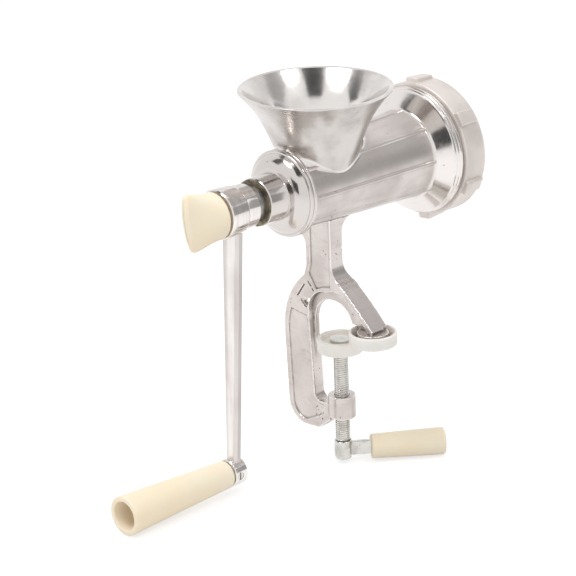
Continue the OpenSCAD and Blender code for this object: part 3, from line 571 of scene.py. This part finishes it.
def ribAlong(name, angle, start, end):  # one soft-flanked rib on the barrel's skin
    half, flank = barrel["ribW"] / 2, barrel["ribFlank"]
    shape = [(-half - wide, up) for wide, up in flank] + [(half + wide, up) for wide, up in flank[::-1]]
    origin, along, _ = spines["barrel"]
    out = Vector((0, -math.cos(math.radians(angle)), math.sin(math.radians(angle))))
    side = along.cross(out)
    loops = []
    for x, share in ((start - 2.5, 0.02), (start - 1.2, 0.5), (start, 0.85), (start + 1.5, 1.0),
                     ((start + end) / 2, 1.0), (end - 2, 1.0), (end, 1.0)):
        loop = []
        for across, up in shape:
            base = math.sqrt(max(barrelR(x) ** 2 - across ** 2, 0))
            rise = up * barrel["ribH"] * (share if up > 0 else 1)
            loop.append(origin + along * x + out * (base + rise) + side * across)
        loops.append(loop)
    return loft(name, loops)


def makeRibs():
    piece = join([ribAlong("rib", angle, barrel["ribFrom"], barrel["ribTo"]) for angle in barrel["ribs"]])
    piece.name = "barrelRibs"
    return seat(piece, "grinder", "barrel", angle=50)


# Ring nut
ringNut = {"r": 45.2, "from": 91.3, "len": 20.5, "boreR": 40.35, "seatX": 105.6, "mouthR": 31,
           "lugs": 6, "lugTurn": 36, "lugH": 3.2, "lugW": 11}


def makeLug(number):
    start, r, half = ringNut["from"], ringNut["r"], ringNut["lugW"] / 2
    front = start + ringNut["len"]
    lug = block("lug", (start + 0.4, -half, r - 3), (front - 3.6, half, r + ringNut["lugH"]))
    pick(lambda p: p.z > r)
    bpy.ops.transform.resize(value=(1, 0.86, 1))
    pick(lambda p: p.z > r and p.x > front - 5)
    bpy.ops.transform.translate(value=(-0.6 * mm, 0, -1.2 * mm))
    pick(lambda p: p.z > r, "FACE")
    bpy.ops.mesh.select_mode(type="EDGE")
    bpy.ops.mesh.bevel(offset=1.3 * mm, segments=5, profile=0.5)
    bpy.ops.object.mode_set(mode="OBJECT")
    roundEdges(lug, 0.8, 3, 40)
    move(lug, Matrix.Translation(spines["barrel"][0] * mm))
    return move(lug, turnAbout("barrel", 90 - ringNut["lugTurn"] - number * 360 / ringNut["lugs"]))


def makeRingNut():
    start, seatX, r = ringNut["from"], ringNut["seatX"], ringNut["r"]
    bore, mouth, front = ringNut["boreR"], ringNut["mouthR"], start + ringNut["len"]
    line = [(bore, start), (r - 1.4, start)] + arc((r - 1.2, start + 1.2), 1.2, -80, 0, 4)
    line += [(r, front - 5)] + arc((r - 5, front - 5), 5, 8, 82, 9) + [(36.5, front), (35.4, front - 0.4)]
    line += [(33.6, front - 0.9), (mouth + 0.4, front - 1.6), (mouth, front - 2.2)]
    line += [(mouth, seatX), (bore, seatX), (bore, start)]
    shell = lathe("ringNut", line, "barrel", 144)
    for lug in [makeLug(number) for number in range(ringNut["lugs"])]:
        carve(shell, lug, "UNION")
    return seat(shell, "ring", "matte", ["ring_nut"], 34)


# Crank
crank = {
    "hub": [(13.7, -63.6), (14.4, -64.3), (14.95, -73.6), (15.15, -74.3), (15.65, -74.9), (16.25, -86.6),
            (16.15, -87.9), (15.5, -88.6)],
    "len": 180, "lean": 2.4, "splay": 0.6, "armX": -76.1, "armTop": -10.4, "topW": 15.6, "endW": 9.6,
    "thick": 5, "bevel": 2.1, "eyeFace": -83.18, "eyeT": 10.4, "eyeR": 9.2, "eyeEdge": 0.8,
    "studR": 4.15, "pinR": 4.03, "square": 7.08, "squareEnd": -83.7, "grubR": 2.66, "grubX": -79.18,
}


def makeArm(lean):
    x, half, side = crank["armX"], crank["thick"] / 2, crank["topW"] / 2
    arm = block("arm", (x - half, -side, -crank["len"]), (x + half, side, crank["armTop"]))
    pick(lambda p: p.z < -crank["len"] / 2)
    bpy.ops.transform.resize(value=(1, crank["endW"] / crank["topW"], 1))
    pick(lambda p: p.x < x and abs(p.y) > 1, "EDGE")
    mesh = bmesh.from_edit_mesh(arm.data)
    for edge in mesh.edges:  # only the two long edges of the outer face
        edge.select_set(edge.select and abs(edge.verts[0].co.z - edge.verts[1].co.z) > 0.1)
    bmesh.update_edit_mesh(arm.data)
    bpy.ops.mesh.bevel(offset=crank["bevel"] * mm, segments=1)
    bpy.ops.object.mode_set(mode="OBJECT")
    roundEdges(arm, 0.35, 2, 20)
    pivot = Matrix.Translation((x * mm - half * mm, 0, 0))
    return move(arm, lean @ pivot @ Matrix.Rotation(math.radians(crank["splay"]), 4, "Y") @ pivot.inverted())


def makeCrank():
    hubLine = crank["hub"]
    hub = lathe("crankArm", [(0, hubLine[0][1])] + hubLine + [(0, hubLine[-1][1])], "barrel", 128)
    axis = spines["barrel"][0]
    lean = Matrix.Translation(axis * mm) @ Matrix.Rotation(math.radians(crank["lean"]), 4, "X")
    arm = makeArm(lean)
    face, r, edge = crank["eyeFace"], crank["eyeR"], crank["eyeEdge"]
    back = face + crank["eyeT"]
    eye = lathe("eye", [(0, face), (r - 0.9, face)] + arc((r - edge, face + edge), edge, -80, 0, 4)
                + arc((r - edge, back - edge), edge, 0, 80, 4) + [(0, back)], "spindle", 96)
    carve(hub, arm, "UNION")
    carve(hub, eye, "UNION")
    carve(hub, rod("studTool", crank["studR"], -95, -60, "barrel"))
    low, high = (Vector((0, axis.y + side, axis.z + side)) for side in (-crank["square"], crank["square"]))
    carve(hub, block("squareTool", (crank["squareEnd"], low.y, low.z), (-60, high.y, high.z)))
    carve(hub, rod("pinTool", crank["pinR"], -95, -60, "spindle"))
    grub = move(rod("grubTool", crank["grubR"], 0, 12, "hopper", 32), Matrix.Translation(-axis * mm))
    tip = Matrix.Translation((crank["grubX"] * mm, 0, -crank["len"] * mm))
    carve(hub, move(grub, lean @ tip @ Matrix.Rotation(math.radians(90), 4, "X")))
    return seat(hub, "crank", "crank", ["crank_arm"], 28)


crankGrip = {"inner": -84.585, "outer": -171.085, "innerR": 9.35, "outerR": 13.0, "swell": 0.12,
             "holeR": 4.08, "hollowR": 9.2, "floor": -109.085}


def makeCrankGrip():
    inner, outer, hole, floor = (crankGrip[key] for key in ("inner", "outer", "holeR", "floor"))
    line = [(hole, inner), (8.4, inner)] + arc((8.5, inner - 0.8), 0.8, 80, 0, 4)
    line += bow((crankGrip["innerR"], inner - 3), (crankGrip["outerR"], outer + 3), crankGrip["swell"], 12)
    line += arc((12.0, outer + 1.0), 1.0, 0, -80, 4) + [(10.4, outer)]
    line += arc((10.3, outer + 0.8), 0.8, -100, -170, 3) + [(crankGrip["hollowR"], outer + 6)]
    line += [(8.6, floor - 0.515), (8.0, floor), (hole, floor), (hole, inner)]
    return seat(lathe("crankGrip", line, "spindle", 128), "grip", "cream", ["crank_grip"], 40)


# Wing screw's head: a round foot that flattens into a curved blade
wing = {"footX": -90.2, "footR": 15.4, "wide": 18.4, "thick": 3.6, "turn": 9.0, "body": 21.0, "tip": 2.5,
        "tipIn": 2.2, "bend": 2.4, "sides": 72, "steps": 22}


def wingSections():  # place along the screw, half width, half thickness and squareness of each section
    steps = wing["steps"]
    places = [(0.0, 0.0, 0.5), (0.25, 0.0, 0.15), (0.8, 0.0, 0.0)]
    places += [(1.5 + wing["body"] * k / steps, k / steps, 0.0) for k in range(steps + 1)]
    sections = []
    for depth, share, less in places:
        ease = share * share * (3 - 2 * share)
        wide = wing["footR"] + (wing["wide"] - wing["footR"]) * ease - less
        thick = wing["footR"] + (wing["thick"] - wing["footR"]) * (1 - (1 - share) ** 1.55) - less
        sections.append((depth, wide, thick, 2 + 1.3 * share))
    depth, wide, thick, power = sections[-1]
    for k in range(1, 7):  # the rounded tip
        angle = math.radians(90 * k / 6)
        sections.append((depth + wing["tip"] * math.sin(angle), wide - wing["tipIn"] * (1 - math.cos(angle)),
                         thick * max(math.cos(angle), 0.05), power))
    return sections


def makeWing():
    origin, along, _ = spines["barrel"]
    turn, sides = math.radians(wing["turn"]), wing["sides"]
    wideWay = Vector((0, math.sin(turn), math.cos(turn)))
    thinWay = Vector((0, math.cos(turn), -math.sin(turn)))
    loops = []
    for depth, wide, thick, power in wingSections():
        loop = []
        for k in range(sides):
            c, s = math.cos(math.tau * k / sides), math.sin(math.tau * k / sides)
            across = wide * math.copysign(abs(c) ** (2 / power), c)
            through = thick * math.copysign(abs(s) ** (2 / power), s)
            bend = wing["bend"] * (across / wing["wide"]) ** 2 * max(0.0, (depth - 8) / 17)
            centre = origin + along * (wing["footX"] - depth + bend)
            loop.append(centre + wideWay * across + thinWay * through)
        loops.append(loop)
    return seat(loft("wingHead", loops), "wing", "cream", ["wing_head"], 50)


# Clamp frame, marks given as places across and up on its rear face
clampFrame = {
    "voxel": 0.5, "smooth": 2, "face": -5.5,
    "pocket": ((-3.4, 54.6, 12.4), (8, 65, 23.5)), "window": ((62.2, 17.0), (51.8, 19.9), (55.9, 11.9)),
    "grooves": (((64.6, 18.3), (56.9, 28.8)), ((54.1, 31.8), (48.6, 25.6))), "grooveW": 1.1, "grooveT": 1.5,
    "pinR": 3.3, "pins": (((-4.5, 40.1, 52.4), 0), ((-4.5, 61.7, -43.7), 0), ((1.9, 31.5, 56.7), 90)),
    "flowFrom": (43, -49), "flowAngles": (4, 17, 30, 43), "flowStart": 9, "flowEnd": 16.5, "flowW": 0.9,
    "flowT": 1.8,
}


def grooveTool(start, end, depth, width):  # a bar in the frame's rear face between two places
    face = clampFrame["face"]
    along = Vector(end) - Vector(start)
    tool = block("grooveTool", (face - 2, 0, -width / 2), (face + depth, along.length, width / 2))
    atRest()
    turn = Matrix.Rotation(math.atan2(along.y, along.x), 4, "X")
    return move(tool, Matrix.Translation(Vector((0, start[0], start[1])) * mm) @ turn)


def ejectorTool(place, turn):  # the ring that an ejector pin leaves in a casting
    r = clampFrame["pinR"]
    line = [(r - 0.5, -1), (r + 0.5, -1), (r + 0.4, 0.75), (r - 0.4, 0.75), (r - 0.5, -1)]
    tool = lathe("ejectorTool", line, "barrel", 40)
    home = Matrix.Rotation(math.radians(turn), 4, "Z") @ Matrix.Translation(-spines["barrel"][0] * mm)
    return move(tool, Matrix.Translation(Vector(place) * mm) @ home)


def makeClampFrame():
    piece = bpy.data.objects.new("clampFrame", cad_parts["clamp_frame"].data.copy())
    bpy.context.collection.objects.link(piece)
    choose(piece)
    bpy.ops.object.mode_set(mode="EDIT")
    bpy.ops.mesh.select_all(action="SELECT")
    bpy.ops.mesh.remove_doubles(threshold=sameSpot)
    bpy.ops.object.mode_set(mode="OBJECT")
    pocket = block("pocketTool", *clampFrame["pocket"])
    atRest()
    carve(piece, pocket)
    carve(piece, loft("windowTool", [[(x, y, z) for y, z in clampFrame["window"]] for x in (-8, 9)]))
    for start, end in clampFrame["grooves"]:
        carve(piece, grooveTool(start, end, clampFrame["grooveT"], clampFrame["grooveW"]))
    for place, turn in clampFrame["pins"]:
        carve(piece, ejectorTool(place, turn))
    corner = Vector(clampFrame["flowFrom"])
    for angle in clampFrame["flowAngles"]:  # flow lines at the lower corner
        way = Vector((math.sin(math.radians(angle)), -math.cos(math.radians(angle))))
        start, end = (corner + way * clampFrame[key] for key in ("flowStart", "flowEnd"))
        carve(piece, grooveTool(start, end, clampFrame["flowT"], clampFrame["flowW"]))
    modify(piece, "REMESH", mode="VOXEL", voxel_size=clampFrame["voxel"] * mm)
    modify(piece, "SMOOTH", factor=0.5, iterations=clampFrame["smooth"])
    choose(piece)
    # a colour layer from the mesh's concavity, dark in creases and light on edges, that carries painted shade
    # and painted highlight
    bpy.ops.geometry.color_attribute_add(name="creaseShadeEdgeHighlight", domain="CORNER", data_type="FLOAT_COLOR",
                                         color=(1, 1, 1, 1))
    bpy.ops.paint.vertex_color_dirt(blur_strength=1.0, blur_iterations=2, clean_angle=math.pi, dirt_angle=0,
                                    dirt_only=False, normalize=False)
    return seat(piece, "grinder", "frame", ["clamp_frame"], 60)


# Pads, two shallow cups
tablePad = {"r": 15.7, "h": 8.4, "foot": 0.7, "wall": 1.8, "floor": 2.0}
screwPad = {"r": 15.4, "low": -12.5, "top": -3.5, "floor": -6.7, "holeR": 3.98}


def makeTablePad():
    r, top, foot, floor = tablePad["r"], tablePad["h"], tablePad["foot"], tablePad["floor"]
    inner = r - tablePad["wall"]
    line = [(0, 0), (r - foot, 0)] + arc((r - foot, foot), foot, -80, 0, 4) + [(r, top - 2)]
    line += arc((r - 0.8, top - 0.8), 0.8, 0, 90, 4) + arc((inner + 0.7, top - 0.6), 0.7, 95, 175, 4)
    line += [(inner, floor + 0.4), (inner - 0.4, floor), (0, floor)]
    return seat(lathe("tablePad", line, "tablePad", 96), "grinder", "milky", ["table_pad"], 40)


def makeScrewPad():
    r, low, top, floor, hole = (screwPad[key] for key in ("r", "low", "top", "floor", "holeR"))
    line = [(hole, low), (r - 1.2, low)] + arc((r - 1.1, low + 1), 1.0, -80, 0, 5)
    line += [(r, low + 4.1), (r, top - 2.1)] + arc((r - 1.1, top - 1.1), 1.1, 0, 90, 5)
    line += [(r - 2.5, top)] + arc((r - 2.6, top - 0.5), 0.5, 100, 170, 3)
    line += [(r - 3.2, floor + 0.3), (r - 3.5, floor), (hole, floor), (hole, low)]
    return seat(lathe("screwPad", line, "screw", 96), "pad", "milky", ["screw_pad"], 40)


# Clamp screw, with a thread that stops short of its plain upper end
clampScrew = {"r": 4.9, "coreR": 4.42, "pitch": 1.5, "foot": -77.15, "top": -12.8, "plainEnd": 2.2,
              "crest": 0.08}


def makeClampScrew():
    foot, top, core, pitch = (clampScrew[key] for key in ("foot", "top", "coreR", "pitch"))
    crest, crestR = clampScrew["r"], clampScrew["r"] - clampScrew["crest"]
    rodPiece = rod("clampScrew", core, foot, top, "screw")
    atRest()
    bpy.ops.mesh.primitive_circle_add(vertices=5, enter_editmode=True)
    thread = bpy.context.object
    mesh = bmesh.from_edit_mesh(thread.data)
    shape = [(core - 0.2, 0.1), (core - 0.2, pitch - 0.1), (crestR, pitch * 0.62), (crest, pitch * 0.5),
             (crestR, pitch * 0.38)]
    for corner, (out, up) in zip(mesh.verts, shape):
        corner.co = Vector((out, 0, up + foot + 0.2)) * mm
    bmesh.update_edit_mesh(thread.data)
    turns = int((top - foot - clampScrew["plainEnd"]) / pitch)
    modify(thread, "SCREW", angle=math.tau, screw_offset=pitch * mm, iterations=turns, steps=36,
           render_steps=36, use_merge_vertices=True, axis="Z")
    choose(thread)
    bpy.ops.object.mode_set(mode="EDIT")
    bpy.ops.mesh.select_all(action="SELECT")
    bpy.ops.mesh.fill_holes(sides=0)
    tidyMesh()
    move(thread, Matrix.Translation(spines["screw"][0] * mm))
    return seat(join([rodPiece, thread]), "pad", "zinc", ["clamp_screw"], 24)


# Clamp handle: a flat tang held in a crimped collar, with a grip on it
clampTang = {"from": -5.8, "to": 62, "thick": 3.0, "high": 9.5, "edge": 0.4, "gap": 0.03}
collar = {
    "r": 5.4, "sides": 64, "recessR": 4.98, "recessFrom": -77.45,
    "foot": [(-89.0, 4.9), (-88.8, 5.2), (-88.3, 5.4)], "bodyFrom": -87.6, "bodyStep": 0.9, "bodySteps": 9,
    "head": [(-79.9, 5.4), (-79.5, 5.45), (-79.3, 5.75), (-78.9, 5.8), (-77.0, 5.8), (-76.3, 5.7),
             (-76.0, 5.4)],
    "dents": ((205, -88.6, -84.5), (262, -86.5, -80.5), (318, -88.0, -82.0), (25, -87.0, -80.5),
              (120, -87, -81)),  # direction in degrees, low and high end
    "dentT": 0.5, "dentW": 9, "dentEnd": 1.2,
}
clampGrip = {"from": 18.5, "to": 68.0, "innerR": 8.15, "outerR": 9.0, "swell": 0.1, "endRound": 1.7}


def tangBlock(name, start, end, gap=0.0):  # a flat bar with the tang's section
    thick, high = clampTang["thick"] / 2 + gap, clampTang["high"] / 2 + gap
    piece = block(name, (start, -thick, -high), (end, thick, high))
    atRest()
    return piece


def alongHandle(piece):
    return move(piece, Matrix.Translation(spines["handle"][0] * mm) @ Matrix.Rotation(gripTurn, 4, "Z"))


def dentAt(angle, z):  # how deep the crimping tool has pressed the collar's skin at a place
    depth = 0.0
    for way, low, high in collar["dents"]:
        gap = (math.degrees(angle) - way + 180) % 360 - 180
        inside = max(0.0, min((z - low) / collar["dentEnd"], (high - z) / collar["dentEnd"], 1.0))
        depth += collar["dentT"] * math.exp(-(gap / collar["dentW"]) ** 2) * inside
    return depth


def makeCollar():
    body = [(collar["bodyFrom"] + collar["bodyStep"] * k, collar["r"]) for k in range(collar["bodySteps"])]
    loops = []
    for z, r in collar["foot"] + body + collar["head"]:
        loop = []
        for k in range(collar["sides"]):
            angle = math.tau * k / collar["sides"]
            out = r - dentAt(angle, z)
            loop.append(spines["screw"][0] + Vector((out * math.cos(angle), out * math.sin(angle), z)))
        loops.append(loop)
    piece = loft("screwCollar", loops)
    carve(piece, rod("recessTool", collar["recessR"], collar["recessFrom"], -74, "screw"))
    carve(piece, alongHandle(tangBlock("slotTool", -20, 20, clampTang["gap"])))
    return seat(piece, "screw", "zinc", ["screw_collar"], 34)


def makeTang():
    piece = tangBlock("clampTang", clampTang["from"], clampTang["to"])
    roundEdges(piece, clampTang["edge"], 3)
    return seat(alongHandle(piece), "screw", "zinc", ["clamp_tang"], 40)


def makeClampGrip():
    start, end, edge = clampGrip["from"], clampGrip["to"], clampGrip["endRound"]
    line = [(0, start), (7.0, start)] + arc((7.1, start + 1), 1.0, -80, 0, 5)
    line += bow((clampGrip["innerR"], start + 2.5), (clampGrip["outerR"], end - 2.5), clampGrip["swell"], 10)
    line += arc((clampGrip["outerR"] - edge, end - edge), edge, 0, 85, 7) + [(0, end)]
    piece = lathe("clampGrip", line, "handle", 96)
    carve(piece, alongHandle(tangBlock("slotTool", 0, clampTang["to"] + clampTang["gap"], clampTang["gap"])))
    return seat(piece, "screw", "cream", ["clamp_grip"], 40)


makeHopper()
makeFootFillet()
makeBarrel()
makeRibs()
makeRingNut()
makeCrank()
makeCrankGrip()
makeWing()
makeClampFrame()
makeTablePad()
makeScrewPad()
makeClampScrew()
makeCollar()
makeTang()
makeClampGrip()

# CAD nodes whose shape is right keep it and get their finish
keptNodes = {
    "neck_bush": "bronze", "plate_key": "steel", "drive_shaft": "steel", "worm": "cast",
    "worm_thrust_washer": "milky", "cross_knife": "steel", "mincing_plate": "steel", "eye_screw": "zinc",
    "grip_spindle": "steel", "grip_washer": "zinc", "wing_stud": "zinc", "wing_washer": "zinc",
    "pad_screw": "zinc",
}
for nodeName, finish in keptNodes.items():
    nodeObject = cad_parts[nodeName]
    if not nodeObject.data.materials:
        nodeObject.data.materials.append(None)
    for slotHere in nodeObject.material_slots:
        slotHere.link = "OBJECT"
        slotHere.material = finishes[finish][0]

# Studio, in metres
studio = {"ambient": 0.78, "floorGlow": 0.62, "floorShade": 0.52, "floorZ": cadBox[0][2] - 0.0003,
          "cardsFace": (0.0, 0.03, 0.08), "lampsFace": (0.0, 0.03, 0.05)}
darkCards = {  # direction, distance, width, height and shade
    "darkFront": ((0.64, -0.70, 0.22), 1.4, 0.9, 0.75, 0.38),
    "darkRear": ((-0.97, -0.15, 0.16), 1.3, 0.6, 0.5, 0.07),
    "darkAbove": ((-0.25, -0.27, 0.90), 1.15, 0.5, 1.0, 0.07),
    "darkLeft": ((-0.472, 0.515, 0.709), 1.3, 0.42, 0.85, 0.12),
    "darkRight": ((0.536, -0.447, 0.709), 1.3, 0.6, 0.7, 0.48),
}
softLamps = {  # direction, distance, size and power
    "keyLamp": ((-0.44, 0.144, 0.88), 1.3, 0.50, 4.6),
    "fillLamp": ((0.168, -0.436, 0.88), 1.3, 0.30, 1.8),
}
photoView = {"right": (0.72265529, -0.69033522, -0.0347365), "up": (0.26195181, 0.22701727, 0.93800022),
             "ahead": (0.6396488, 0.6869501, -0.34488979), "place": (-1.18583, -1.19486, 0.65840),
             "lens": 175, "sensor": 36}


def seenDirectly(wire):  # 1 for camera, mirror and glass rays
    camera = wire.node("LightPath", None, None, "Is Camera Ray")
    glossy = wire.node("LightPath", None, None, "Is Glossy Ray")
    through = wire.node("LightPath", None, None, "Is Transmission Ray")
    return wire.node("Clamp", None, {"Value": camera + glossy + through})


def makeWorld():
    world = bpy.data.worlds.new("studioAir")
    scene.world = world
    world.use_nodes = True
    world.node_tree.nodes.clear()
    wire = Wire(world.node_tree)
    strength = seenDirectly(wire) * (1 - studio["ambient"]) + studio["ambient"]
    air = wire.node("Background", None, {"Color": (1, 1, 1, 1), "Strength": strength})
    wire.node("OutputWorld", None, {"Surface": air})


def makeFloor():
    atRest()
    bpy.ops.mesh.primitive_plane_add(size=14, location=(0, 0, studio["floorZ"]))
    floor = bpy.context.object
    floor.name = "studioFloor"
    made, wire = openMaterial("paleFloor")
    plain = wire.node("BsdfDiffuse", None, {"Color": (0.8, 0.8, 0.8, 1)})
    shaded = wire.node("BsdfDiffuse", None, {"Color": (studio["floorShade"],) * 3 + (1,)})
    glow = wire.node("Emission", None, {"Color": (1, 1, 1, 1), "Strength": studio["floorGlow"]})
    lit = wire.node("AddShader", None, {0: shaded, 1: glow})
    shown = wire.node("MixShader", None, {0: seenDirectly(wire), 1: plain, 2: lit})
    wire.node("OutputMaterial", None, {"Surface": shown})
    floor.data.materials.append(made)


def darkCard(name, way, distance, width, height, shade):  # a dark flag that only shows in polished metal
    atRest()
    way = Vector(way).normalized()
    place = Vector(studio["cardsFace"]) + way * distance
    bpy.ops.mesh.primitive_plane_add(size=1, location=place, rotation=way.to_track_quat("Z", "Y").to_euler())
    card = bpy.context.object
    card.name = name
    card.scale = (width, height, 1)
    made, wire = openMaterial(name)
    glow = wire.node("Emission", None, {"Color": (1, 1, 1, 1), "Strength": shade})
    wire.node("OutputMaterial", None, {"Surface": glow})
    card.data.materials.append(made)
    card.visible_camera = False
    card.visible_diffuse = False
    card.visible_transmission = False
    card.visible_shadow = False


def softLamp(name, way, distance, size, power):
    way = Vector(way).normalized()
    lamp = bpy.data.lights.new(name, "AREA")
    lamp.shape = "DISK"
    lamp.size = size
    lamp.energy = power
    holder = bpy.data.objects.new(name, lamp)
    bpy.context.collection.objects.link(holder)
    holder.location = Vector(studio["lampsFace"]) + way * distance
    holder.rotation_euler = way.to_track_quat("Z", "Y").to_euler()


def makeCamera():
    right, up, ahead = (Vector(photoView[key]) for key in ("right", "up", "ahead"))
    lens = bpy.data.cameras.new("photoCamera")
    lens.lens = photoView["lens"]
    lens.sensor_width = photoView["sensor"]
    camera = bpy.data.objects.new("photoCamera", lens)
    bpy.context.collection.objects.link(camera)
    turn = Matrix((right, up, -ahead)).transposed().to_4x4()
    camera.matrix_world = Matrix.Translation(photoView["place"]) @ turn
    scene.camera = camera


makeWorld()
makeFloor()
for cardName, values in darkCards.items():
    darkCard(cardName, *values)
for lampName, values in softLamps.items():
    softLamp(lampName, *values)
makeCamera()
print("studio ready")
